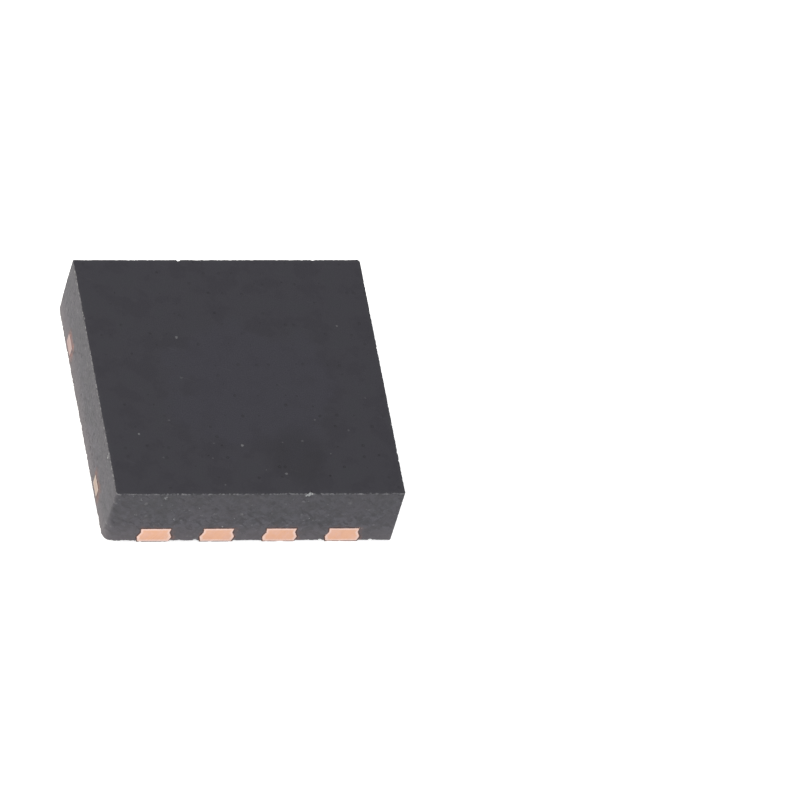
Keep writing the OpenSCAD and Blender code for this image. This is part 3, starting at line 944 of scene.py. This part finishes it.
pad_face, tree, shader = new_material("pad_face")
tone, roughness, relief = tin_grain(tree)
place = millimetres(tree)
smudge = use_group(tree, grain_group, Size=0.05, Detail=3.0)
wander = centred(tree, smudge["Speckle"], 1.6)


def blot(x, y, half_length, half_width, angle):
    """An oval contact mark with an uneven rim, at a place on the pad"""
    turned = add_node(tree, "Mapping", {
        "Vector": place, "Location": (x, y, 0), "Rotation": (0, 0, math.radians(angle)),
        "Scale": (half_length, half_width, 1)}, vector_type="TEXTURE")
    across, along, _ = axes(tree, turned.outputs[0])
    return ramp(tree, plus(tree, hypotenuse(tree, across, along), wander), 0.55, 1.45, 1.0, 0.0)


x, y, z = axes(tree, vector_maths(tree, "SUBTRACT", place, (-0.07, 0.073, 0)))
round_ring = maths(tree, "DEGREES", maths(tree, "ARCTAN2", y, x))
ring_reach = hypotenuse(tree, x, y)


def arc(radius, half_width, start, end):
    """A stretch of the suction cup's ring, between two angles"""
    across = divide(tree, maths(tree, "ABSOLUTE", minus(tree, ring_reach, radius)), half_width)
    band = ramp(tree, plus(tree, across, wander), 0.3, 1.6, 1.0, 0.0)
    return times(tree, band, window(tree, round_ring, start, end, 4.0))


stain = 0.0
for strength, shape in (
        (0.62, blot(-0.12, -0.42, 0.13, 0.085, 82)), (0.62, blot(-0.10, -0.30, 0.13, 0.10, 40)),
        (0.45, blot(-0.04, -0.24, 0.075, 0.035, 60)), (0.66, blot(-0.37, 0.475, 0.125, 0.052, 42)),
        (0.42, arc(0.735, 0.034, -56, -24)), (0.34, arc(0.665, 0.100, -17, -3)), (0.34, arc(0.69, 0.080, 6, 24)),
        (0.22, arc(0.70, 0.080, 24, 36)), (0.48, arc(0.745, 0.036, 44, 58)), (0.52, arc(0.55, 0.036, 53, 96)),
        (0.30, blot(-0.555, 0.66, 0.10, 0.013, -39))):
    stain = largest(tree, stain, times(tree, shape, strength))
stain = times(tree, stain, ramp(tree, smudge["Cells"], 0.0, 1.0, 0.75, 1.1))
heart = largest(tree, blot(-0.15, -0.29, 0.065, 0.045, 20), blot(-0.15, -0.45, 0.04, 0.03, 30))
x, y, z = axes(tree, place)
from_sides = maths(tree, "MINIMUM", minus(tree, pad_length / 2, maths(tree, "ABSOLUTE", x)),
                   minus(tree, pad_width / 2, maths(tree, "ABSOLUTE", y)))
past_chamfer = plus(tree, x, y, pad_length / 2 + pad_width / 2 - pad_chamfer)
from_edge = maths(tree, "MINIMUM", from_sides, times(tree, past_chamfer, 0.707))
tone = lay_on(
    tree, tone,
    (stain, (0.135, 0.120, 0.100)),
    (times(tree, heart, 0.40), (0.085, 0.075, 0.065)),
    # Painted highlight: a paler band along the pad's rounded edge
    (ramp(tree, from_edge, 0.008, 0.022, 0.45, 0.0), (0.80, 0.78, 0.765)))
roughness = plus(tree, roughness, times(tree, stain, 0.15))
feed(tree, shader.inputs, {"Base Color": tone, "Metallic": 1.0, "Roughness": roughness})
add_relief(tree, shader, relief, distance=4e-6, strength=0.6)
pad_tin.data.materials.append(pad_face)
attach(pad_tin, "root")
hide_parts("pad_finish")

# Table: a plain pale sheet under even studio light, bright enough to come out white. From below it is clear, so
# that the underside can be looked at.
bpy.ops.object.select_all(action="DESELECT")
bpy.ops.mesh.primitive_plane_add(size=2.0, location=(0, 0, -2e-6))
floor = bpy.context.object
floor.name = "floor"
floor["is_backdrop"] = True
pale_sheet, tree, shader = new_material("pale_sheet")
feed(tree, shader.inputs, {
    "Base Color": (0.92, 0.92, 0.92, 1), "Roughness": 0.9, "Specular IOR Level": 0.0,
    "Emission Color": (1, 1, 1, 1), "Emission Strength": 0.55})
clear = add_node(tree, "BsdfTransparent")
below = add_node(tree, "NewGeometry").outputs["Backfacing"]
sheet = add_node(tree, "MixShader", {0: below, 1: shader.outputs["BSDF"], 2: clear.outputs["BSDF"]})
feed(tree, tree.nodes["Material Output"].inputs, {"Surface": sheet.outputs[0]})
floor.data.materials.append(pale_sheet)

# Light: white surroundings, and one warm square softbox to the left of the chip and above it, facing it
studio = bpy.data.worlds.new("studio")
bpy.context.scene.world = studio
studio.use_nodes = True
feed(studio.node_tree, studio.node_tree.nodes["Background"].inputs, {"Color": (1, 1, 1, 1), "Strength": 1.0})
softbox_place = Vector((-0.055, 0.008, 0.020))
bpy.ops.object.select_all(action="DESELECT")
bpy.ops.object.light_add(type="AREA", location=softbox_place)
softbox = bpy.context.object
softbox.name = "left_softbox"
softbox.data.size, softbox.data.energy, softbox.data.color = 0.03, 0.031, (1.0, 0.93, 0.80)
softbox.rotation_euler = (-softbox_place).to_track_quat("-Z", "Y").to_euler()

# Camera: a long macro lens at the photograph's place, turned 22 degrees to the left and looking down at 50
bpy.ops.object.camera_add()
camera = bpy.context.object
camera.name = "camera"
right = Vector((0.96794, -0.15550, 0.19726)).normalized()
ahead = Vector((0.25117, 0.59389, -0.76433)).normalized()
up = right.cross(ahead)
turned = Matrix((right, up, -ahead)).transposed().to_4x4()
camera.matrix_world = Matrix.Translation((-0.056767, -0.138376, 0.178475)) @ turned
camera.data.sensor_width, camera.data.lens = 36.0, 1038.4
camera.data.clip_start, camera.data.clip_end = 0.001, 10.0
bpy.context.scene.camera = camera
bpy.context.scene.view_settings.view_transform = "Standard"

low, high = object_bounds()
